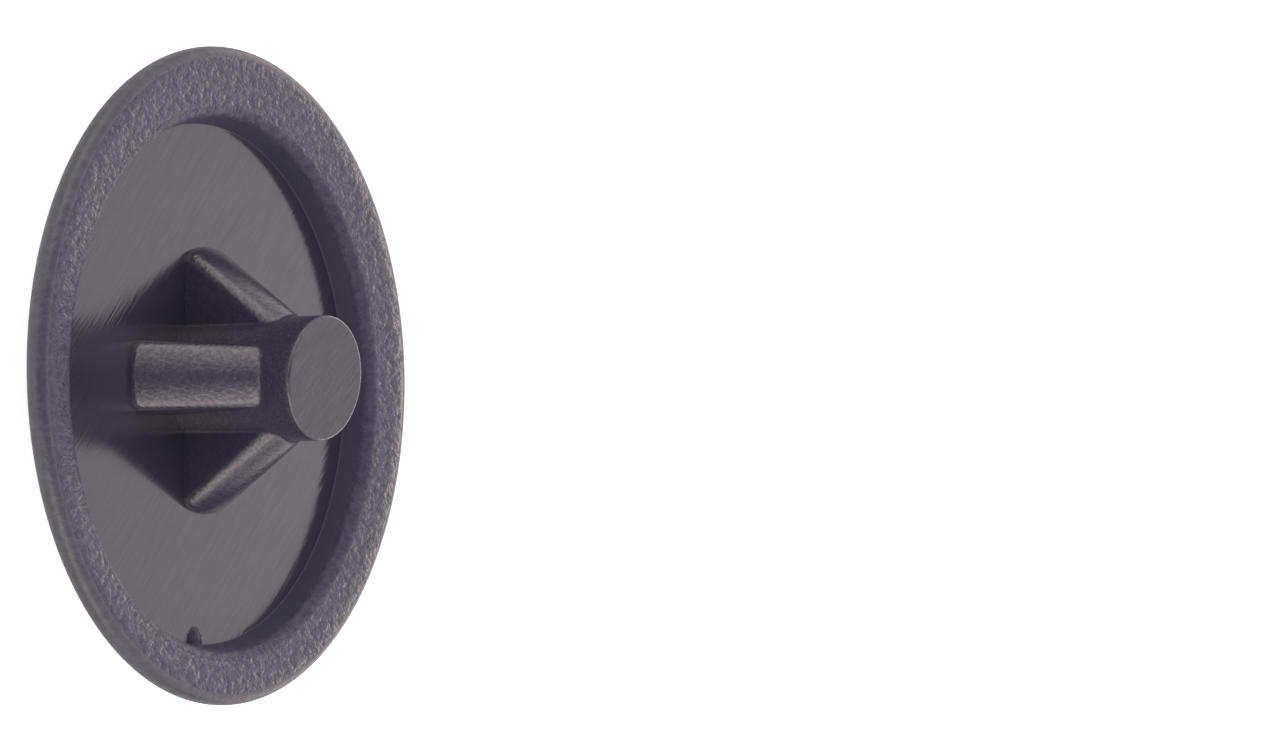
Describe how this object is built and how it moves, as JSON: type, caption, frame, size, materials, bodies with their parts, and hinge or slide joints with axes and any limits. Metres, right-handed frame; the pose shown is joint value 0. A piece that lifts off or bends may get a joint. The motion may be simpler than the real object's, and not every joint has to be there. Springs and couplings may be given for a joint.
{
  "type": "screw cover cap",
  "caption": "Round domed plastic cap with a recessed back and a ribbed plug that presses into a screw's cross recess to hide the screw head.",
  "frame": {"origin": "lowest point of the crown, on the head's axis, with the cap lying crown down", "axes": "+Z along the head's axis from the crown to the plug's tip; the ribs lie along X and Y, and the nub on the recess wall lies towards -Y"},
  "size_m": [0.012, 0.012, 0.004],
  "materials": {
    "plastic": "fine grained matt on the crown, rim and ribs, satin in the recess"
  },
  "bodies": {
    "root": {"cover_cap": "plastic"}
  },
  "joints": []
}
